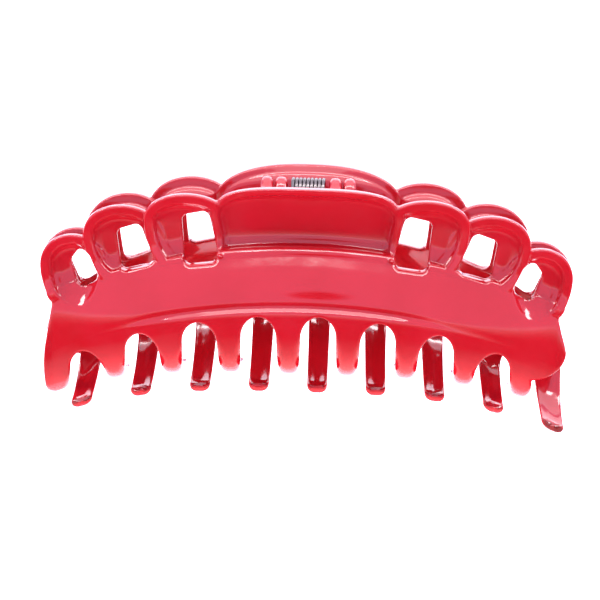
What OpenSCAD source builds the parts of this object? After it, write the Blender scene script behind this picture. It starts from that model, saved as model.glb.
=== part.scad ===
// Claw hair clip: two identical moulded jaws, one torsion spring and one hinge pin.
// X runs along the clip, Y across it and Z up. The clip stands on the tips of its two end teeth
// at z = 0. The formulas below measure heights from the middle of the hair space, lift above that.

/* [Clip] */
// Length of the clip from end to end
clip_length = 130; // [115:1:145]
// Half of the hair space's depth, at the middle of the clip and the jaw's mid-wall
bulge_middle = 18.8; // [16:0.1:20]
// Radius of the arch that the jaws follow, seen from the front
arch_radius = 120; // [115:1:160]
// Thickness of the band and the petals
wall = 2.2; // [1.8:0.1:2.6]

/* [Teeth] */
// Distance from one tooth of a jaw to the next
tooth_pitch = 14.2; // [13.8:0.1:14.4]
// Width of a tooth where it leaves the band
tooth_root = 5.8; // [4.8:0.1:6.2]
// Width of a tooth at its tip
tooth_tip = 4.8; // [3.8:0.1:5]
// Depth of the lowest face of the middle teeth below the origin
tooth_depth = 21.4; // [18:0.1:23]
// Extra depth of the teeth at the clip's ends
tooth_drop = 7.5; // [6:0.1:11]

/* [Hinge] */
// Height of the hinge axis above the origin
hinge_z = 26.8; // [26:0.1:27.5]
// Radius of the knuckles
knuckle_r = 3.6; // [3.2:0.1:3.8]
// Width of one knuckle along the pin
knuckle_w = 2.9; // [2.4:0.1:3]
// Radius of the hinge pin
pin_r = 1; // [0.8:0.05:1.2]
// Diameter of the spring wire
wire_d = 0.9; // [0.7:0.05:1]
// Turns in the spring's coil
coil_turns = 8; // [6:2:8]

/* [Hidden] */

teeth = 9;
top_z = 31;              // top of the handle
crease_z = 15.4;         // upper edge of the band at the middle
band_axis = 18;          // upper half-axis of the band's elliptical profile
crease_angle = 42;       // the band follows its ellipse up to this angle, then runs straight to the crease
crease_share = cos(crease_angle) - (crease_z / band_axis - sin(crease_angle)) * tan(crease_angle);
tooth_cross = 12.5;         // how far past the middle plane the teeth's ellipse is centred
tooth_end_angle = 86;    // how far round its ellipse a tooth curls
tooth_shift = tooth_pitch / 4;
gap_rise = 5.5;          // height of the arch between two teeth
body_end = 62.6;         // half-length of the band
rim = 1.7;               // width of the raised rims
rim_height = 0.9;        // how far the rims stand above the sunk faces
handle_half = 22.8;      // half-length of the handle
outer_knuckle_x = 8.5;   // nearest face of an outer knuckle to the middle
inner_knuckle_x = 5.05;  // nearest face of an inner knuckle to the middle
running_gap = 0.05;      // radial clearance of the pin in the turning jaw
pin_inset = 0.2;         // how far each pin end stops inside its knuckle
coil_r = knuckle_r - 0.05 - wire_d / 2;
coil_pitch = wire_d * 1.03;
plastic = [0.86, 0.07, 0.17];
steel = [0.72, 0.70, 0.68];

// One row a petal: centre x and z, half-width, rise above and fall below the centre
petals = [
    [28.5, 20.8, 10.6, 7.1, 14],
    [44.0, 15.6, 10.2, 8.3, 12],
    [56.4,  7.2,  8.6, 8.3, 12]
];
// Corners of the window in each petal
windows = [
    [[20.8, 12.1], [29.1, 10.6], [30.0, 21.9], [23.5, 23.3]],
    [[36.4, 10.0], [44.7,  7.2], [46.0, 16.9], [40.2, 19.0]],
    [[50.2,  4.6], [55.2,  1.8], [57.5,  8.3], [55.4, 11.3], [52.7, 10.8]]
];

// ---------- the curved wall of a jaw ----------

function mix(a, b, t) = a + (b - a) * t;
function ease(t) = let (c = min(1, max(0, t))) c * c * (3 - 2 * c);
function arch(x) = -x * x / (2 * arch_radius);
function bulge(x) = 3.8 + (bulge_middle - 3.8) * pow(max(0, 1 - pow(x / 62, 2)), 1.15);
function tooth_floor(x) = -tooth_depth - tooth_drop * pow(abs(x) / 60.35, 3);
function cross_y(x) = tooth_cross;
function upright_y(x) = bulge(x) * crease_share;

// Mid-wall above the crease: petals step in and stand upright, the handle steps in and then flares out
function handle_share(x) = 1 - ease((abs(x) - 19) / 5);
function handle_dip(x) = 3 * ease((26 - abs(x)) / 8);
function handle_top_y(x) = 12.4 - 0.0100 * x * x;
function upper_y(x, w) =
    let (dip = handle_dip(x), rise = handle_top_y(x) - upright_y(x) + dip)
    upright_y(x) - 0.9 * ease(3 * w) * (1 - handle_share(x)) + handle_share(x) * (rise * pow(w, 2.2) - dip * (1 - exp(-w / 0.12)));

// Rows of the wall, from a tooth's tip (0) over the band to the top
tooth_rows = 12;
band_rows = 6;
upper_rows = 7;
rows = tooth_rows + band_rows + upper_rows;
function wall_mid(x, row) =
    row <= tooth_rows
    ? let (a = tooth_end_angle * (1 - row / tooth_rows), h = arch(x) - tooth_floor(x) - wall / 2)
      [cross_y(x) - (bulge(x) + cross_y(x)) * cos(a), arch(x) - h * sin(a)]
    : row <= tooth_rows + band_rows
    ? let (
          k = row - tooth_rows - band_rows + 1,
          a = crease_angle * min(1, (row - tooth_rows) / (band_rows - 1)),
          step = max(0, k) * (crease_z - band_axis * sin(crease_angle)))
      [-bulge(x) * (cos(a) - step / band_axis * tan(crease_angle)), arch(x) + band_axis * sin(a) + step]
    : let (w = 1.15 * (row - tooth_rows - band_rows) / upper_rows)
      [-upper_y(x, w), arch(x) + crease_z + w * (top_z - crease_z)];
function wall_face(x, row, side) =
    let (
        a = wall_mid(x, max(0, row - 0.5)),
        b = wall_mid(x, min(rows, row + 0.5)),
        t = (b - a) / norm(b - a),
        p = wall_mid(x, row)
    )
    [x, p[0] - side * t[1] * wall / 2, p[1] + side * t[0] * wall / 2];

stations = [for (i = [-17:17]) i * 3.9];
columns = len(stations);
function at(side, c, r) = (side * columns + c) * (rows + 1) + r;
function quad(a, b, c, d) = [[a, b, c], [a, c, d]];

// Solid layer of the wall between two offsets, given in half-walls from its middle
module curved_wall(outside = 1, inside = -1) {
    points = [for (side = [outside, inside], x = stations, r = [0:rows]) wall_face(x, r, side)];
    outer = [for (c = [0:columns - 2], r = [0:rows - 1])
        quad(at(0, c, r), at(0, c, r + 1), at(0, c + 1, r + 1), at(0, c + 1, r))];
    inner = [for (c = [0:columns - 2], r = [0:rows - 1])
        quad(at(1, c, r), at(1, c + 1, r), at(1, c + 1, r + 1), at(1, c, r + 1))];
    low_and_high = [for (c = [0:columns - 2]) each [
        quad(at(0, c, 0), at(0, c + 1, 0), at(1, c + 1, 0), at(1, c, 0)),
        quad(at(0, c, rows), at(1, c, rows), at(1, c + 1, rows), at(0, c + 1, rows))]];
    ends = [for (r = [0:rows - 1]) each [
        quad(at(0, 0, r), at(1, 0, r), at(1, 0, r + 1), at(0, 0, r + 1)),
        quad(at(0, columns - 1, r), at(0, columns - 1, r + 1),
             at(1, columns - 1, r + 1), at(1, columns - 1, r))]];
    polyhedron(points, [for (group = [outer, inner, low_and_high, ends], q = group) each q]);
}

// ---------- the jaw's outline, seen from the front ----------

function petal_points(p) = [for (a = [0:12:348])
    [p[0] + p[2] * cos(a), p[1] + (a < 180 ? p[3] : p[4]) * sin(a)]];
function super(a) = sign(a) * pow(abs(a), 2 / 2.6);

module handle_outline() {
    top = [for (a = [0:10:180]) [handle_half * super(cos(a)), 22 + (top_z - 22) * super(sin(a))]];
    polygon(concat(top, [[-22, 18], [-21.6, 14], [-21.4, 9], [21.4, 9], [21.6, 14], [22, 18]]));
}

function gap_top(x) = 1.6 - 0.0052 * x * x;

module band_outline() {
    upper = [for (x = [-60:4:60]) [x, arch(x) + crease_z]];
    polygon(concat(upper, [[62.2, -3], [body_end, -9], [body_end + 0.6, -14], [body_end + 0.6, -45],
        [-body_end - 1.6, -45], [-body_end - 1.6, -16], [-body_end - 0.6, -9], [-62.2, -3]]));
}

function tooth_x(i) = (i - (teeth - 1) / 2) * tooth_pitch - tooth_shift;
function lean(x) = x * abs(x) / 2400;
function gap_x(i) = tooth_x(i) + tooth_pitch / 2;

// The space between two teeth: an arch that runs down past the tips
module gap_outline(i) {
    a = tooth_x(i);
    b = tooth_x(i + 1);
    spring_z = gap_top(gap_x(i)) - gap_rise;
    half = (tooth_pitch - tooth_root) / 2;
    polygon(concat(
        [for (s = [0:15:180]) [gap_x(i) + half * cos(s), spring_z + gap_rise * sin(s)]],
        [[a + lean(a) + tooth_tip / 2, tooth_floor(a) - 3], [b + lean(b) - tooth_tip / 2, tooth_floor(b) - 3]]));
}

module jaw_outline() {
    difference() {
        union() {
            handle_outline();
            for (p = petals, side = [0, 1]) mirror([side, 0]) polygon(petal_points(p));
            band_outline();
        }
        for (w = windows, side = [0, 1]) mirror([side, 0])
            offset(r = 1.3, $fn = 16) offset(delta = -1.3) polygon(w);
        for (i = [0:teeth - 2]) gap_outline(i);
        far_corner();
        near_corner();
    }
}

// Rounds the band's corner past the last tooth, at the end that has no end tooth
module far_corner() {
    reach = body_end + 4;
    x = tooth_x(teeth - 1);
    x0 = x + tooth_root / 2;
    polygon(concat([for (a = [0:15:90]) [x0 + (body_end + 0.6 - x0) * sin(a), -17.8 + 7 * (1 - cos(a))]],
        [[reach, -10.8], [reach, -46], [x + lean(x) + tooth_tip / 2, tooth_floor(x) - 3]]));
}

// Trims the end tooth's outer side
module near_corner() {
    x = tooth_x(0);
    polygon([[-body_end - 6, -17], [-body_end - 1.6, -17], [x + lean(x) - tooth_tip / 2, tooth_floor(x) - 3], [-body_end - 6, -46]]);
}

// The sunk faces of the handle and the petals, inside their rims
module recess_outline() {
    difference() {
        union() {
            offset(delta = -rim) handle_outline();
            for (i = [0:2], side = [0, 1]) mirror([side, 0]) difference() {
                offset(delta = -rim) polygon(petal_points(petals[i]));
                if (i == 0) handle_outline(); else polygon(petal_points(petals[i - 1]));
            }
        }
        difference() {
            translate([0, -0.8]) band_outline();
            for (side = [0, 1]) mirror([side, 0]) translate([50, -3]) square([12.6, 12.6]);
        }
    }
}

// ---------- the pieces ----------

module knuckle(x) {
    round_r = 1.1;
    translate([x, 0, hinge_z]) rotate([0, 90, 0]) rotate_extrude($fn = 48) union() {
        square([knuckle_r - round_r, knuckle_w]);
        translate([0, round_r]) square([knuckle_r, knuckle_w - 2 * round_r]);
        for (y = [round_r, knuckle_w - round_r])
            translate([knuckle_r - round_r, y]) circle(round_r, $fn = 32);
    }
    web_inset = 0.3;
    translate([x + web_inset, -8.2, hinge_z - 3.2]) cube([knuckle_w - 2 * web_inset, 8.2, 5.2]);
}

module jaw(bore_r) {
    difference() {
        union() {
            resize([clip_length, 0, 0]) difference() {
                intersection() {
                    curved_wall();
                    rotate([90, 0, 0]) linear_extrude(80, center = true) jaw_outline();
                }
                intersection() {
                    curved_wall(2, 1 - 2 * rim_height / wall);
                    rotate([90, 0, 0]) linear_extrude(80, center = true) recess_outline();
                }
            }
            knuckle(-outer_knuckle_x - knuckle_w);
            knuckle(inner_knuckle_x);
        }
        translate([0, 0, hinge_z]) rotate([0, 90, 0]) cylinder(h = 40, r = bore_r, center = true, $fn = 48);
    }
}

module front_jaw() {
    color(plastic) jaw(pin_r);
}

module back_jaw() {
    color(plastic) rotate([0, 0, 180]) jaw(pin_r + running_gap);
}

module hinge_pin() {
    length = 2 * (outer_knuckle_x + knuckle_w - pin_inset);
    color(steel) translate([0, 0, hinge_z]) rotate([0, 90, 0])
        cylinder(h = length, r = pin_r, center = true, $fn = 48);
}

// ---------- the spring: a coil with one arm to each handle ----------

leg_angle = 25;          // how far past its top the coil lets each arm go
leg_length = 7.1;
turn_steps = 20;
wire_sides = 8;
coil_half = coil_turns * coil_pitch / 2;
function on_coil(a) = [coil_half * a / (coil_turns * 180 + leg_angle), coil_r * sin(a), hinge_z + coil_r * cos(a)];
function wire_path() =
    let (
        end = coil_turns * 180 + leg_angle,
        steps = coil_turns * turn_steps,
        coil = [for (i = [0:steps]) on_coil(mix(-end, end, i / steps))],
        out = [0, cos(end), -sin(end)]
    )
    concat([coil[0] + [0, -out[1], out[2]] * leg_length], coil, [coil[steps] + out * leg_length]);
function ring(path, i) =
    let (
        n = len(path),
        t = path[min(n - 1, i + 1)] - path[max(0, i - 1)],
        d = t / norm(t),
        u = cross(d, [1, 0, 0]) / norm(cross(d, [1, 0, 0])),
        v = cross(d, u)
    )
    [for (s = [0:wire_sides - 1]) path[i] + (cos(360 * s / wire_sides) * u + sin(360 * s / wire_sides) * v) * wire_d / 2];

module torsion_spring() {
    path = wire_path();
    n = len(path);
    points = [for (i = [0:n - 1]) each ring(path, i)];
    sides = [for (i = [0:n - 2], s = [0:wire_sides - 1])
        let (a = i * wire_sides, b = a + wire_sides, next = (s + 1) % wire_sides)
        each quad(a + s, b + s, b + next, a + next)];
    caps = [[for (s = [0:wire_sides - 1]) s], [for (s = [wire_sides - 1:-1:0]) (n - 1) * wire_sides + s]];
    color(steel) polyhedron(points, concat(sides, caps));
}

foot_x = abs(tooth_x(0)) + lean(abs(tooth_x(0))) + tooth_tip / 2;
lift = -tooth_floor(foot_x);
module standing() {
    translate([0, 0, lift]) children();
}

standing() front_jaw();
standing() back_jaw();
standing() hinge_pin();
standing() torsion_spring();
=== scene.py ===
"""Looks for the claw hair clip: two glossy moulded jaws, a twisting coil spring and a steel pin."""
import math
import bmesh
import bpy
import numpy as np
import openvdb
from mathutils import Matrix, Vector


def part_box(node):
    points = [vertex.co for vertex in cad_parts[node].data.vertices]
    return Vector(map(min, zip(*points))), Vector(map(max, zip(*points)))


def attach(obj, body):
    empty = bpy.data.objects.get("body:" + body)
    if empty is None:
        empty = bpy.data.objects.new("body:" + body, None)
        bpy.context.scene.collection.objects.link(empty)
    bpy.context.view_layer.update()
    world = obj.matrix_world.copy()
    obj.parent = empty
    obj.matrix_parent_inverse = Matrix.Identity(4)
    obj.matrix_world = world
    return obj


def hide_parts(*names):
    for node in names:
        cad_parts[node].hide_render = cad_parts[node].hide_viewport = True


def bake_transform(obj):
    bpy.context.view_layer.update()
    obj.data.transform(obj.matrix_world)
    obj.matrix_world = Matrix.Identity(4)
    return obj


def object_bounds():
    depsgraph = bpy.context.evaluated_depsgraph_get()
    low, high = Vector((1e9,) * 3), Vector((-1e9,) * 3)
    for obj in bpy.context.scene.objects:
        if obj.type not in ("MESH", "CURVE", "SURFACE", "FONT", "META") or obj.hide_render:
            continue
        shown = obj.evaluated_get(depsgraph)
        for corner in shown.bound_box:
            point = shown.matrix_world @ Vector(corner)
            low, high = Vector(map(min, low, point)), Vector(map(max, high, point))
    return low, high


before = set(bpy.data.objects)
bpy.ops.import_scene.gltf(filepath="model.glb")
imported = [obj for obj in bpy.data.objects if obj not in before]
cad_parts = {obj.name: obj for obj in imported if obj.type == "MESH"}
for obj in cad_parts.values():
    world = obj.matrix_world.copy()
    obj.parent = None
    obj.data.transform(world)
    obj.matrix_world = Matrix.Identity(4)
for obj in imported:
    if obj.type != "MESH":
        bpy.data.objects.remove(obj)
cad_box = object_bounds()
MM = 0.001
SCENE = bpy.context.scene

# ---------- camera, about 18 degrees above level ----------
CAM_DIST = 0.450
CAM_EL, CAM_AZ, CAM_ROLL = math.radians(18), math.radians(1.0), math.radians(1.5)
AIM_LEFT, AIM_DOWN = 0.0013, 0.030018
back_v = Vector((math.sin(CAM_AZ) * math.cos(CAM_EL), -math.cos(CAM_AZ) * math.cos(CAM_EL), math.sin(CAM_EL)))
right_v = Vector((math.cos(CAM_AZ), math.sin(CAM_AZ), 0))
up_v = back_v.cross(right_v)
target = Vector((0, 0, cad_box[1][2])) - right_v * AIM_LEFT - up_v * AIM_DOWN
turn = Matrix((right_v, up_v, back_v)).transposed().to_4x4() @ Matrix.Rotation(CAM_ROLL, 4, "Z")
cam = bpy.data.cameras.new("camera")
cam.sensor_width = 36
cam.lens = 112.3
cam.clip_start, cam.clip_end = 0.01, 20
cam_obj = bpy.data.objects.new("camera", cam)
cam_obj.matrix_world = Matrix.Translation(target + back_v * CAM_DIST) @ turn
SCENE.collection.objects.link(cam_obj)
SCENE.camera = cam_obj

# ---------- the jaw's sizes, in mm from the middle of the hair space ----------
HINGE = 26.8
pin_lo, pin_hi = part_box("hinge_pin")
# how far the middle of the hair space is above the table
LIFT = (pin_lo[2] + pin_hi[2]) / 2 / MM - HINGE
TOP, CREASE = 31.0, 15.4
# half the wall's thickness
WALL = 1.1
# the whole jaw arches over, seen from the front, and bulges out in plan
ARCH_R = 120.0
BULGE_END, BULGE_MORE, BULGE_REACH, BULGE_POWER = 3.8, 15.0, 62.0, 1.15
# the band is an ellipse up to CREASE_A, then straight up to the crease
BAND_H = 18.0
CREASE_A = math.radians(42)
CREASE_K = math.cos(CREASE_A) - (CREASE / BAND_H - math.sin(CREASE_A)) * math.tan(CREASE_A)
# the teeth follow a second ellipse, centred past the middle plane, as far as TIP_A
CROSS = 12.5
TIP_A = math.radians(86)
TEETH, PITCH = 9, 14.2
SHIFT = PITCH / 4
# a tooth's two widths, its depth in the middle, and how much lower and more tilted the outer ones are
ROOT, TIP = 6.0, 5.0
TOOTH_DEPTH, TOOTH_DROP, LEAN_R = 21.4, 7.5, 2400.0
GAP_TOP, GAP_SAG, GAP_RISE = 1.6, 0.0052, 5.5
# the outline runs this far past the teeth, whose own end caps do the cutting
CUT_PAST = 3.0
# each petal: x, z, half width, height above z, height below z
PETALS = [(28.5, 20.8, 10.6, 7.1, 14), (44.0, 15.6, 10.2, 8.3, 12), (56.4, 7.2, 8.6, 8.3, 12)]
PETAL_START = 21.0
PETAL_BACK, PETAL_LAP = -1.25, 1.75
PETAL_STEP, PETAL_LEAN, PETAL_LEAN_H = 0.9, 0.020, 8.0
WINDOWS = [[(20.8, 12.1), (29.1, 10.6), (30.0, 21.9), (23.5, 23.3)],
           [(36.4, 10.0), (44.7, 7.2), (46.0, 16.9), (40.2, 19.0)],
           [(50.2, 4.6), (55.2, 1.8), (57.5, 8.3), (55.4, 11.3), (52.7, 10.8)]]
WINDOW_R = 1.6
# the raised rims, and how gently and how deep the faces inside them sink
RIM, BEVEL = 2.1, 3.0
PETAL_SINK, END_SINK = 1.9, 1.5
HANDLE_RIM, HANDLE_BEVEL, HANDLE_SINK = 1.5, 2.2, 1.4
HANDLE_HALF, HANDLE_SHOULDER, HANDLE_POWER = 22.8, 22.0, 2.6
HANDLE_OUT, HANDLE_CURVE, HANDLE_SWEEP = 12.4, 0.0100, 2.2
SHELF_DIP, SHELF_FALL = 3.0, 0.07
KNUCKLES = (-9.95, 6.5)
KNUCKLE_R, KNUCKLE_W, KNUCKLE_ROUND = 3.6, 2.9, 1.1
BORE_R = 1.05
WEB_HALF, WEB_DROP, WEB_ROUND = (1.05, 3.7, 2.3), 0.6, 0.2
# the least distance from a petal's back to the middle plane
MIDDLE_GAP = 0.25
EDGE_OUT, EDGE_IN = 0.9, 0.6
GRID_LO, GRID_HI = np.array([-65.8, -21.0, -31.6]), np.array([65.8, 8.6, 32.2])


def ease(t):
    t = np.clip(t, 0, 1)
    return t * t * (3 - 2 * t)


def arch(x):
    return -x * x / (2 * ARCH_R)


def bulge(x):
    return BULGE_END + BULGE_MORE * np.maximum(0, 1 - (x / BULGE_REACH) ** 2) ** BULGE_POWER


def tooth_x(i):
    return (i - TEETH // 2) * PITCH - SHIFT


def floor_z(x):
    return -TOOTH_DEPTH - TOOTH_DROP * (np.abs(x) / -tooth_x(0)) ** 3


def gap_top(x):
    return GAP_TOP - GAP_SAG * x * x


def lean(x):
    return x * np.abs(x) / LEAN_R


def smax(a, b, k):
    """The larger of two values, rounded off over a width of k."""
    h = np.maximum(k - np.abs(a - b), 0) / k
    return np.maximum(a, b) + h * h * k * 0.25


def smin(a, b, k):
    return -smax(-a, -b, k)


def box_d(*sides):
    """Distance to a box, from the distance past each pair of its sides."""
    outside = np.sqrt(sum(np.maximum(q, 0) ** 2 for q in sides))
    inside = sides[0]
    for q in sides[1:]:
        inside = np.maximum(inside, q)
    return outside + np.minimum(inside, 0)


def plate(front, back, outline, edge_out=EDGE_OUT):
    """A plate between two faces, cut to an outline, with its edges rounded."""
    return smax(smax(front, outline, edge_out), smax(back, outline, EDGE_IN), 0.3)


def poly(x, z, pts):
    """Signed distance to a closed polygon, negative inside."""
    d = np.full(x.shape, 1e9)
    s = np.ones(x.shape)
    for i in range(len(pts)):
        ax, az = pts[i]
        bx, bz = pts[i - 1]
        ex, ez = bx - ax, bz - az
        wx, wz = x - ax, z - az
        t = np.clip((wx * ex + wz * ez) / (ex * ex + ez * ez), 0, 1)
        d = np.minimum(d, (wx - ex * t) ** 2 + (wz - ez * t) ** 2)
        c1, c2, c3 = z >= az, z < bz, ex * wz > ez * wx
        flip = (c1 & c2 & c3) | (~c1 & ~c2 & ~c3)
        s = np.where(flip, -s, s)
    return s * np.sqrt(d)


def inset(pts, r):
    """The polygon moved inward by r, so that poly() - r has rounded corners."""
    area = sum(pts[i - 1][0] * pts[i][1] - pts[i][0] * pts[i - 1][1] for i in range(len(pts)))
    way = 1 if area > 0 else -1
    out = []
    for i in range(len(pts)):
        p, q, w = np.array(pts[i - 1]), np.array(pts[i]), np.array(pts[(i + 1) % len(pts)])
        a, b = (q - p) / np.linalg.norm(q - p), (w - q) / np.linalg.norm(w - q)
        na, nb = way * np.array((-a[1], a[0])), way * np.array((-b[1], b[0]))
        out.append(tuple(q + (na + nb) / (1 + na @ nb) * r))
    return out


def ellipse_d(dx, dz, a, up, down):
    """First-order distance to an ellipse with a different half-axis above and below."""
    b = np.where(dz > 0, up, down)
    k0 = np.sqrt((dx / a) ** 2 + (dz / b) ** 2) + 1e-9
    k1 = np.sqrt((dx / a ** 2) ** 2 + (dz / b ** 2) ** 2) + 1e-9
    return k0 * (k0 - 1) / k1


def handle_outline():
    """The handle seen from the front: near-straight sides under a flattened arch."""
    half = [(21.4, 9.0), (21.6, 14.0), (22.0, 18.0)]
    for deg in range(0, 91, 5):
        c, s = math.cos(math.radians(deg)), math.sin(math.radians(deg))
        across = HANDLE_HALF * c ** (2 / HANDLE_POWER)
        half.append((across, HANDLE_SHOULDER + (TOP - HANDLE_SHOULDER) * s ** (2 / HANDLE_POWER)))
    return half + [(-px, pz) for px, pz in reversed(half)]


def tooth_edge(i, side):
    """The outer edge of an end tooth, where it passes the floor."""
    x = tooth_x(i)
    return x + float(lean(x)) + side * TIP / 2, float(floor_z(x)) - CUT_PAST


def jaw_outline():
    """The sides of the band and teeth seen from the front. The right end has a round corner."""
    corner_x, corner_z, corner_h = 64.4, -17.8, 7.0
    root_x = tooth_x(TEETH - 1) + ROOT / 2
    pts = [(-60, 17), (60, 17), (62.2, -3), (63.0, -6), (63.9, -8.8)]
    for deg in range(90, -1, -9):
        c, s = math.cos(math.radians(deg)), math.sin(math.radians(deg))
        pts.append((root_x + (corner_x - root_x) * s, corner_z + corner_h * (1 - c)))
    pts += [tooth_edge(TEETH - 1, 1), tooth_edge(0, -1)]
    return pts + [(-64.2, -17), (-64.0, -14), (-63.2, -9), (-62.2, -3)]


HANDLE = handle_outline()
OUTLINE = jaw_outline()
WINDOW_CORES = [inset(w, WINDOW_R) for w in WINDOWS]


def gaps(x, z):
    """Signed distance to the nearest gap between two teeth, negative inside it."""
    i = np.clip(np.round((x + SHIFT) / PITCH + TEETH // 2 - 0.5), 0, TEETH - 2)
    a, b = tooth_x(i), tooth_x(i + 1)
    mid = (a + b) / 2
    start = gap_top(mid) - GAP_RISE
    half = (PITCH - ROOT) / 2
    down = np.maximum(start - z, 0)
    left_end = a + TIP / 2 + lean(a)
    right_end = b - TIP / 2 + lean(b)
    left = (mid - half) + (left_end - (mid - half)) * down / (start - (floor_z(a) - CUT_PAST))
    right = (mid + half) + (right_end - (mid + half)) * down / (start - (floor_z(b) - CUT_PAST))
    sides = np.maximum(left - x, x - right)
    top = ellipse_d(x - mid, z - start, half, GAP_RISE, GAP_RISE)
    return np.where(z > start, top, sides)


def arc_foot(y, z, cy, cz, ay, az, hi, sgn):
    """Nearest point on y = cy - ay cos t, z = cz + sgn az sin t, with t from 0 to hi."""
    t = np.arctan2(np.maximum(sgn * (z - cz), 0) / az, np.maximum((cy - y) / ay, 1e-6))
    for _ in range(4):
        c, s = np.cos(t), np.sin(t)
        ry, rz = cy - ay * c - y, sgn * az * s - (z - cz)
        dy, dz = ay * s, sgn * az * c
        f = ry * dy + rz * dz
        g = dy * dy + dz * dz + ry * ay * c - rz * sgn * az * s
        t = np.clip(t - f / np.where(np.abs(g) < 1, 1, g), 0, hi)
    return t


def scoop(rec, width):
    """0 outside a recess, rising to 1 at its middle like the side of a bowl."""
    t = np.clip(-rec / width, 0, 1)
    return (1 - (1 - t) ** 2) * (0.35 + 0.65 * ease(t * 3))


def above_crease(x, z):
    """0 at the crease and 1 at the handle's top."""
    return np.clip((z - arch(x) - CREASE) / (TOP - CREASE), 0, 1.4)


def handle_profile(x, z):
    """How far out the handle is, and its slope factor: a short shelf, then it leans out more and more."""
    w = above_crease(x, z)
    foot = bulge(x) * CREASE_K
    dip = SHELF_DIP * ease((26 - np.abs(x)) / 8)
    rise = HANDLE_OUT - HANDLE_CURVE * x * x - foot + dip
    fall = np.exp(-w / SHELF_FALL)
    out = foot + rise * w ** HANDLE_SWEEP - dip * (1 - fall)
    slope = (HANDLE_SWEEP * rise * w ** (HANDLE_SWEEP - 1) - dip * fall / SHELF_FALL) / (TOP - CREASE)
    return out, np.sqrt(1 + slope * slope)


def petal_profile(x, z, shift, top):
    """How far out a petal is, and its slope factor. Its top edge leans outward a little."""
    f = np.maximum(z - (top - PETAL_LEAN_H), 0)
    step = PETAL_STEP * ease(above_crease(x, z) * 3)
    slope = 2 * PETAL_LEAN * f
    return bulge(x) * CREASE_K - step + PETAL_LEAN * f * f + shift, np.sqrt(1 + slope * slope)


def lower_middle(x, y, z):
    """Distance outward from the middle of the band's and teeth's wall, and distance past a tooth's end."""
    b, zc = bulge(x), arch(x)
    h = zc - floor_z(x) - WALL
    is_low = z < zc
    t1 = arc_foot(y, z, CROSS, zc, b + CROSS, h, TIP_A, -1.0)
    t2 = arc_foot(y, z, 0.0, zc, b, BAND_H, CREASE_A, 1.0)
    fy = np.where(is_low, CROSS - (b + CROSS) * np.cos(t1), -b * np.cos(t2))
    fz = np.where(is_low, zc - h * np.sin(t1), zc + BAND_H * np.sin(t2))
    out1 = ((y - CROSS) / (b + CROSS)) ** 2 + ((z - zc) / h) ** 2 - 1
    out2 = (y / b) ** 2 + ((z - zc) / BAND_H) ** 2 - 1
    s = np.sqrt((y - fy) ** 2 + (z - fz) ** 2) * np.where(is_low, np.sign(out1), np.sign(out2))
    # the straight top of the band
    sy, sz = b * np.sin(CREASE_A), BAND_H * np.cos(CREASE_A)
    from_y, from_z = y + b * np.cos(CREASE_A), z - zc - BAND_H * np.sin(CREASE_A)
    flat = (from_z * sy - from_y * sz) / np.sqrt(sy * sy + sz * sz)
    s = np.where(~is_low & (t2 >= CREASE_A - 1e-4), flat, s)
    # along a tooth, positive past its end
    ty, tz = (b + CROSS) * np.sin(TIP_A), -h * np.cos(TIP_A)
    tl = np.sqrt(ty * ty + tz * tz)
    ey, ez = y - (CROSS - (b + CROSS) * math.cos(TIP_A)), z - (zc - h * math.sin(TIP_A))
    over = is_low & (t1 >= TIP_A - 1e-4)
    speed = np.sqrt(((b + CROSS) * np.sin(t1)) ** 2 + (h * np.cos(t1)) ** 2)
    along = np.where(is_low, -(TIP_A - t1) * 0.5 * (speed + tl), -50.0)
    along = np.where(over, (ey * ty + ez * tz) / tl, along)
    # past the end, measure off the tangent so that the end cap stays flat
    return np.where(over, (ey * tz - ez * ty) / tl, s), along


def lower_wall(x, y, z, last_petal):
    """The band and the teeth, up to the crease."""
    zc, across = arch(x), np.abs(x)
    s, along = lower_middle(x, y, z)
    outline = smin(smax(poly(x, z, OUTLINE), -gaps(x, z), 0.3), last_petal, 0.8)
    # 0 on the band, 1 on a tooth
    on_tooth = ease((gap_top(x) - GAP_RISE + 1.0 - z) / 5)
    sink = END_SINK * scoop(last_petal + RIM, BEVEL) * ease((z + 5.0) / 7.0)
    # the crease's proud lip
    lip = 0.35 * ease((z - zc - CREASE + 1.0) / 1.2) * ease((44 - across) / 8)
    # the ridge where the band turns under into the teeth, strongest near the middle
    dz = z - (gap_top(x) + 1.5 + 0.0008 * x * x)
    weight = 0.06 + 0.94 * ease((x + 44) / 16) * ease((34 - x) / 16)
    crest = 0.40 * np.exp(-((dz - 0.9) / 0.7) ** 2)
    hollow = 0.50 * ease((0.5 - dz) / 0.9) * (1 - ease((-dz - 0.8) / 5))
    ridge = weight * (crest - hollow) * (1 - 0.5 * on_tooth)
    # a thicker tooth, a little more so at its end, and a groove along its inside
    bead = 0.15 * on_tooth + 0.105 * ease((along + 3.0) / 3.0)
    groove = 0.35 * on_tooth * ease(-outline / 2.6) * (1 - ease((along + 4) / 3))
    # finger end: rounded in plan where the outline meets the end cap
    end_r = 2.0
    finger = box_d(outline + end_r, along + end_r) - end_r
    wall = plate(s - WALL - bead + sink - lip + ridge, -s - WALL + groove, finger, EDGE_OUT + 1.5 * on_tooth)
    return smax(wall, z - zc - CREASE - 0.9, 0.5)


def handle_wall(x, y, z, outline):
    out, slant = handle_profile(x, z)
    s = -(y + out) / slant
    lip = 0.30 * ease((z - TOP + 3.2) / 2.0)
    sink = HANDLE_SINK * scoop(outline + HANDLE_RIM, HANDLE_BEVEL)
    return plate(s - WALL - lip + sink, -s - WALL - 0.4 * sink, outline)


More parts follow.
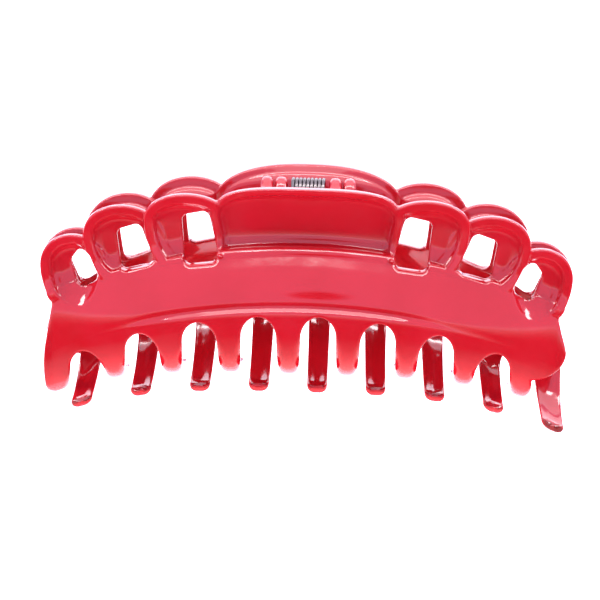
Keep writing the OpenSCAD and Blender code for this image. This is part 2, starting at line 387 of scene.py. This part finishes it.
def petal_wall(x, y, z, petal, outline, before):
    """One petal, which starts behind the piece before it and comes forward along its length."""
    cx, cz, half, up, _ = petal
    shift = PETAL_BACK + PETAL_LAP * ease((np.abs(x) - (cx - half)) / (2 * half))
    out, slant = petal_profile(x, z, shift, cz + up)
    s = -(y + out) / slant
    sink = PETAL_SINK * scoop(smax(outline + RIM, -before - 0.1, 0.6), BEVEL)
    # the first petal starts behind the handle's end
    edge = smax(outline, PETAL_START - np.abs(x), 0.5) if petal is PETALS[0] else outline
    return plate(s - WALL + sink, -s - WALL - 0.7 * sink, edge)


def upper_wall(x, y, z, petals):
    """The handle and the petals, each lapping over the next like scales."""
    before = poly(x, z, HANDLE)
    parts = [handle_wall(x, y, z, before)]
    for petal, outline in zip(PETALS, petals):
        parts.append(petal_wall(x, y, z, petal, outline, before))
        before = outline
    d = parts.pop()
    while parts:
        d = smin(d, parts.pop(), 0.35)
    return smax(d, arch(x) + CREASE - 0.6 - z, 0.5)


def knuckle(x, y, z, r, kx):
    """A round hinge knuckle and the web that joins it to the handle."""
    side = np.abs(x - kx)
    ring = box_d(r - (KNUCKLE_R - KNUCKLE_ROUND), side - (KNUCKLE_W / 2 - KNUCKLE_ROUND)) - KNUCKLE_ROUND
    hx, hy, hz = WEB_HALF
    web = box_d(side - hx, np.abs(y + hy) - hy, np.abs(z - HINGE + WEB_DROP) - hz) - WEB_ROUND
    return smin(ring, web, 0.8)


def jaw_sdf(p):
    """Signed distance, roughly, of the front jaw at points p, an array of (x, y, z) in mm."""
    x, y, z = p[:, 0], p[:, 1], p[:, 2]
    across = np.abs(x)
    petals = [ellipse_d(across - cx, z - cz, half, up, down) for cx, cz, half, up, down in PETALS]
    d = smin(lower_wall(x, y, z, petals[-1]), upper_wall(x, y, z, petals), 0.3 + 0.9 * ease((across - 46) / 5))
    for core in WINDOW_CORES:
        d = smax(d, WINDOW_R - poly(across, z, core), 0.8)
    # above the teeth, the scooped backs stop short of the other jaw
    d = smax(d, np.where(z > arch(x), y + MIDDLE_GAP, -50.0), 0.4)
    r = np.sqrt(y * y + (z - HINGE) ** 2)
    for kx in KNUCKLES:
        d = smin(d, knuckle(x, y, z, r, kx), 0.7)
    return smax(d, BORE_R - r, 0.15)


def chunks(fn, p, n=60000):
    """fn over many points, a part at a time to save memory."""
    return np.concatenate([fn(p[i:i + n]) for i in range(0, len(p), n)])


def gradient(p, e=0.02):
    """The distance's gradient, from differences 2e apart."""
    return np.stack([(chunks(jaw_sdf, p + v) - chunks(jaw_sdf, p - v)) / (2 * e) for v in np.eye(3) * e], 1)


def block(n, start=0):
    """Every whole-number (i, j, k) in a block, as rows."""
    return np.stack(np.meshgrid(*[np.arange(v) for v in n], indexing="ij"), -1).reshape(-1, 3) + start


def sample_jaw(step, k=4):
    """The distance on a grid. Coarse cells, k steps wide, are filled only near the surface."""
    big = step * k
    cells = np.ceil((GRID_HI - GRID_LO) / big).astype(int) + 1
    ijk = block(cells)
    d = chunks(jaw_sdf, GRID_LO + ijk * big)
    near = np.abs(d) < big * 1.15 + 0.35
    dims = cells * k
    vol = np.full(tuple(dims), 1.0, np.float32)
    part = block((k, k, k), -(k // 2))

    def fine(rows):
        idx = (rows[:, None, :] * k + part[None]).reshape(-1, 3)
        return idx[((idx >= 0) & (idx < dims)).all(1)]

    vol[tuple(fine(ijk[~near & (d < 0)]).T)] = -1.0
    idx = fine(ijk[near])
    vol[tuple(idx.T)] = np.clip(chunks(jaw_sdf, GRID_LO + idx * step) / step, -3, 3)
    return vol


def build_jaw(step):
    """The jaw as points, normals and faces, with the points moved onto the formula's surface."""
    grid = openvdb.FloatGrid(3.0)
    grid.copyFromArray(sample_jaw(step))
    pts, tris, quads = grid.convertToPolygons(0.0, 0.0)
    p = GRID_LO + np.asarray(pts, float) * step
    for _ in range(2):
        g = gradient(p)
        move = g * (chunks(jaw_sdf, p) / np.maximum((g * g).sum(1), 0.25))[:, None]
        length = np.linalg.norm(move, axis=1, keepdims=True)
        p = p - move * np.minimum(1, 0.5 * step / np.maximum(length, 1e-9))
    g = gradient(p)
    normals = g / np.maximum(np.linalg.norm(g, axis=1, keepdims=True), 1e-9)
    quads = np.asarray(quads, int)
    tris = np.asarray(tris, int).reshape(-1, 3)
    # the faces have to wind the way the normals point
    a, b, c = p[quads[0][:3]]
    if np.dot(np.cross(b - a, c - b), normals[quads[0][0]]) < 0:
        quads, tris = quads[:, ::-1], tris[:, ::-1]
    return p, normals, quads.tolist() + tris.tolist()


def mesh_object(name, verts, faces, material, normals=None):
    me = bpy.data.meshes.new(name)
    me.from_pydata([tuple(v) for v in verts], [], faces)
    me.update()
    me.polygons.foreach_set("use_smooth", [True] * len(me.polygons))
    if normals is not None:
        me.normals_split_custom_set_from_vertices([tuple(n) for n in normals])
    me.materials.append(material)
    ob = bpy.data.objects.new(name, me)
    SCENE.collection.objects.link(ob)
    return ob


# ---------- materials ----------
def new_mat(name):
    m = bpy.data.materials.new(name)
    m.use_nodes = True
    nt = m.node_tree
    return m, nt, nt.nodes["Principled BSDF"]


def node(nt, kind, **vals):
    """A new node, with each value set on its input, or on the node where it has no such input."""
    n = nt.nodes.new(kind)
    for k, v in vals.items():
        if k in n.inputs:
            n.inputs[k].default_value = v
        else:
            setattr(n, k, v)
    return n


def coordinates(nt, kind="Object"):
    return node(nt, "ShaderNodeTexCoord").outputs[kind]


def map_range(nt, source, start, end, to):
    """The output that is source with start and end mapped onto the two values of to."""
    n = node(nt, "ShaderNodeMapRange", **{"From Min": start, "From Max": end, "To Min": to[0], "To Max": to[1]})
    nt.links.new(source, n.inputs["Value"])
    return n.outputs["Result"]


def noise(nt, where, scale, detail):
    n = node(nt, "ShaderNodeTexNoise", Scale=scale, Detail=detail)
    nt.links.new(where, n.inputs["Vector"])
    return n.outputs["Fac"]


def ramp(nt, source, *stops):
    """A colour ramp over source, from (position, colour) stops."""
    n = node(nt, "ShaderNodeValToRGB")
    els = n.color_ramp.elements
    els[0].position, els[0].color = stops[0]
    els[1].position, els[1].color = stops[-1]
    for place, colour in stops[1:-1]:
        els.new(place).color = colour
    nt.links.new(source, n.inputs["Fac"])
    return n.outputs["Color"]


def bump(nt, bs, height, strength, distance):
    n = node(nt, "ShaderNodeBump", Strength=strength, Distance=distance)
    nt.links.new(height, n.inputs["Height"])
    nt.links.new(n.outputs["Normal"], bs.inputs["Normal"])


def plastic():
    """Polished crimson moulding: slight colour depth, orange-peel ripple and fine handling marks."""
    m, nt, bs = new_mat("crimson_plastic")
    where = coordinates(nt)
    depth = noise(nt, where, 60.0, 3.0)
    colour = ramp(nt, depth, (0.35, (0.358, 0.0046, 0.009, 1)), (0.65, (0.392, 0.0062, 0.013, 1)))
    nt.links.new(colour, bs.inputs["Base Color"])
    marks = noise(nt, where, 220.0, 4.0)
    nt.links.new(map_range(nt, marks, 0.3, 0.75, (0.05, 0.13)), bs.inputs["Roughness"])
    bump(nt, bs, noise(nt, where, 420.0, 2.0), 0.05, 0.0002)
    bs.inputs["IOR"].default_value = 1.58
    bs.inputs["Subsurface Weight"].default_value = 0.08
    bs.inputs["Subsurface Radius"].default_value = (1.0, 0.12, 0.1)
    bs.inputs["Subsurface Scale"].default_value = 0.0015
    return m


def steel(name, colour, rough):
    """Drawn wire: fine scratches round the wire and slight colour change."""
    m, nt, bs = new_mat(name)
    stretch = node(nt, "ShaderNodeMapping", Scale=(6000, 900, 900))
    nt.links.new(coordinates(nt), stretch.inputs["Vector"])
    scratches = noise(nt, stretch.outputs["Vector"], 1.0, 3.0)
    dark = tuple(c * 0.75 for c in colour) + (1,)
    light = tuple(c * 1.1 for c in colour) + (1,)
    nt.links.new(ramp(nt, scratches, (0, dark), (1, light)), bs.inputs["Base Color"])
    nt.links.new(map_range(nt, scratches, 0, 1, (rough * 0.7, rough * 1.4)), bs.inputs["Roughness"])
    bump(nt, bs, scratches, 0.1, 0.00005)
    bs.inputs["Metallic"].default_value = 1.0
    return m


red = plastic()
wire_mat = steel("spring_wire", (0.13, 0.11, 0.11), 0.22)
pin_mat = steel("pin_steel", (0.62, 0.60, 0.58), 0.25)

# ---------- jaws: one moulding, and the same one turned half a turn ----------
points, normals, faces = build_jaw(0.37)
points = points + np.array([0, 0, LIFT])
JAWS = [("jaw_front_moulding", "front", "front_jaw", np.array([1, 1, 1])),
        ("jaw_back_moulding", "back", "back_jaw", np.array([-1, -1, 1]))]
for name, body, node_name, way in JAWS:
    jaw = mesh_object(name, points * way * MM, faces, red, normals * way)
    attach(jaw, body)
    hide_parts(node_name)

# ---------- spring ----------
WIRE_R, TURNS = 0.45, 8
COIL_PITCH = 2 * WIRE_R * 1.03
COIL_R = KNUCKLE_R - 0.05 - WIRE_R
HALF_COIL = TURNS * COIL_PITCH / 2
ARM_A, ARM_LENGTH = math.radians(25), 7.1
TURN_STEPS, ARM_STEPS, ROUND_STEPS = 60, 14, 16
# how far in from each end of the wire, and how wide there, both in wire radii
END_RINGS = [(0.04, 0.45), (0.20, 0.80), (0.38, 0.96)]


def spring_path():
    """The wire's middle line: an arm, the coil, and the other arm."""
    end = TURNS * math.pi + ARM_A
    coil = []
    for i in range(TURNS * TURN_STEPS + 1):
        a = end * (2 * i / (TURNS * TURN_STEPS) - 1)
        coil.append((HALF_COIL * a / end, COIL_R * math.sin(a), HINGE + LIFT + COIL_R * math.cos(a)))
    coil = np.array(coil)
    share = np.linspace(0.06, 1, ARM_STEPS)[:, None] * ARM_LENGTH
    to_front = np.array([0, -math.cos(ARM_A), -math.sin(ARM_A)])
    to_back = np.array([0, math.cos(ARM_A), -math.sin(ARM_A)])
    return np.vstack([(coil[0] + to_front * share)[::-1], coil, coil[-1] + to_back * share])


def sweep_wire(path):
    """A round wire along the path, with rounded ends."""
    along = np.gradient(path, axis=0)
    along /= np.linalg.norm(along, axis=1, keepdims=True)
    u = np.cross(along, [1, 0, 0])
    u /= np.linalg.norm(u, axis=1, keepdims=True)
    v = np.cross(along, u)
    last = len(path) - 1
    rings = [(path[0] + along[0] * inward * WIRE_R, r, 0) for inward, r in END_RINGS]
    rings += [(path[i], 1.0, i) for i in range(1, last)]
    rings += [(path[last] - along[last] * inward * WIRE_R, r, last) for inward, r in reversed(END_RINGS)]
    angles = np.linspace(0, 2 * math.pi, ROUND_STEPS, endpoint=False)
    verts = [q + (math.cos(t) * u[i] + math.sin(t) * v[i]) * WIRE_R * r for q, r, i in rings for t in angles]
    faces = [tuple(range(ROUND_STEPS)), tuple(range(len(verts) - ROUND_STEPS, len(verts)))]
    for j in range(len(rings) - 1):
        for k in range(ROUND_STEPS):
            a, b = j * ROUND_STEPS + k, j * ROUND_STEPS + (k + 1) % ROUND_STEPS
            faces.append((a, b, b + ROUND_STEPS, a + ROUND_STEPS))
    return np.array(verts), faces


wire_verts, wire_faces = sweep_wire(spring_path())
spring = mesh_object("coil_spring", wire_verts * MM, wire_faces, wire_mat)
bm = bmesh.new()
bm.from_mesh(spring.data)
bmesh.ops.recalc_face_normals(bm, faces=bm.faces)
bm.to_mesh(spring.data)
bm.free()
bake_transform(spring)
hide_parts("torsion_spring")

# ---------- pin: the CAD piece with a drawn steel finish ----------
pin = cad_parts["hinge_pin"]
for pin_slot in pin.material_slots:
    pin_slot.material = pin_mat
if not pin.material_slots:
    pin.data.materials.append(pin_mat)


# ---------- floor ----------
def rectangle(name, x0, x1, y0, y1, z, material):
    return mesh_object(name, [(x0, y0, z), (x1, y0, z), (x1, y1, z), (x0, y1, z)], [(0, 1, 2, 3)], material)


def grey(value):
    return (value, value, value, 1)


floor_mat, nt, bs = new_mat("pale_floor")
mottle = noise(nt, coordinates(nt, "Generated"), 9.0, 2.0)
nt.links.new(ramp(nt, mottle, (0, grey(0.90)), (1, grey(0.93))), bs.inputs["Base Color"])
bs.inputs["Roughness"].default_value = 0.9
bs.inputs["Emission Color"].default_value = (1, 1, 1, 1)
bs.inputs["Emission Strength"].default_value = 0.5
floor = rectangle("floor", -3, 3, -3, 3, 0, floor_mat)

# ---------- light ----------
world = bpy.data.worlds.new("studio")
SCENE.world = world
world.use_nodes = True
sky = world.node_tree.nodes["Background"]
sky.inputs["Color"].default_value = (1.0, 0.96, 1.42, 1)
sky.inputs["Strength"].default_value = 1.1


def softbox(name, place, aim, width, height, power, hidden_from=()):
    """A rectangular light, left out of the kinds of ray in hidden_from."""
    light = bpy.data.lights.new(name, "AREA")
    light.shape = "RECTANGLE"
    light.size, light.size_y, light.energy = width, height, power
    o = bpy.data.objects.new(name, light)
    SCENE.collection.objects.link(o)
    o.location = place
    o.rotation_euler = (Vector(aim) - Vector(place)).to_track_quat("-Z", "Y").to_euler()
    for ray in hidden_from:
        setattr(o, "visible_" + ray, False)


# a ceiling panel, and a narrow strip in front of it that draws the thin edge lines
softbox("panel_top", (0, 0.15, 1.25), (0, 0.15, 0), 2.2, 1.1, 15)
softbox("strip_top", (0, -0.34, 1.12), (0, 0, 0.05), 1.6, 0.10, 8, ["diffuse"])
# a bright panel behind, and a softbox on each side for the petals' highlights
softbox("panel_back", (0, 0.95, 0.62), (0, 0, 0.03), 1.7, 0.9, 12)
softbox("box_left", (-0.58, 0.02, 0.46), (0, 0, 0.04), 0.20, 0.24, 2.6)
softbox("box_right", (0.58, 0.02, 0.46), (0, 0, 0.04), 0.20, 0.24, 2.6)
# a small one close above the inside of the back jaw
softbox("near_top", (0, -0.020, 0.100), (0, 0.012, 0.058), 0.13, 0.024, 0.019, ["camera"])
# a low fill from the front, for the inner faces of the back teeth
softbox("fill_low", (0, -0.62, 0.10), (0, 0, 0.03), 1.2, 0.3, 0.8, ["glossy"])
# light bounced up from the table into the hair space
softbox("fill_inside", (0, 0, 0.002), (0, 0.0001, 0.1), 0.112, 0.020, 0.080, ["glossy", "camera"])

# ---------- a dark patch by the camera, seen only as a soft reflection in the band ----------
FLAG_X, FLAG_Y = 0.105, 0.062
flag_mat, nt, bs = new_mat("dark_flag")
bs.inputs["Base Color"].default_value = (0.02, 0.02, 0.02, 1)
squeeze = node(nt, "ShaderNodeMapping", Scale=(1 / FLAG_X, 1 / FLAG_Y, 1))
nt.links.new(coordinates(nt), squeeze.inputs["Vector"])
from_middle = node(nt, "ShaderNodeVectorMath", operation="LENGTH")
nt.links.new(squeeze.outputs["Vector"], from_middle.inputs[0])
clear = node(nt, "ShaderNodeBsdfTransparent")
mix = node(nt, "ShaderNodeMixShader")
nt.links.new(map_range(nt, from_middle.outputs["Value"], 0.55, 1.0, (0.0, 1.0)), mix.inputs[0])
nt.links.new(bs.outputs["BSDF"], mix.inputs[1])
nt.links.new(clear.outputs["BSDF"], mix.inputs[2])
nt.links.new(mix.outputs["Shader"], nt.nodes["Material Output"].inputs["Surface"])
FLAG_STEPS = 48
flag_angles = np.linspace(0, 2 * math.pi, FLAG_STEPS, endpoint=False)
flag_points = [(FLAG_X * math.cos(a), FLAG_Y * math.sin(a), 0) for a in flag_angles]
flag = mesh_object("camera_flag", flag_points, [tuple(range(FLAG_STEPS))], flag_mat)
flag.matrix_world = Matrix.Translation(target + back_v * 0.47 + right_v * 0.028 + up_v * 0.055) @ turn
flag.visible_camera = False
flag.visible_shadow = False

# ---------- a dark card in front, seen only in reflections, which keeps what faces down deep red ----------
CARD_NEAR, CARD_FAR = -0.50, 0.0
card_mat, nt, bs = new_mat("card_grey")
split = node(nt, "ShaderNodeSeparateXYZ")
nt.links.new(coordinates(nt), split.inputs["Vector"])
share = map_range(nt, split.outputs["Y"], CARD_NEAR, CARD_FAR, (0.0, 1.0))
glow = ramp(nt, share, (0.44, grey(0.95)), (0.77, grey(0.02)), (0.91, grey(0.02)), (0.98, grey(0.90)))
emit = node(nt, "ShaderNodeEmission")
nt.links.new(glow, emit.inputs["Strength"])
nt.links.new(emit.outputs["Emission"], nt.nodes["Material Output"].inputs["Surface"])
card = rectangle("front_card", -0.6, 0.6, CARD_NEAR, CARD_FAR, 0.0006, card_mat)
card.visible_camera = False
card.visible_diffuse = False
card.visible_shadow = False

SCENE.view_settings.view_transform = "Standard"
SCENE.view_settings.look = "None"
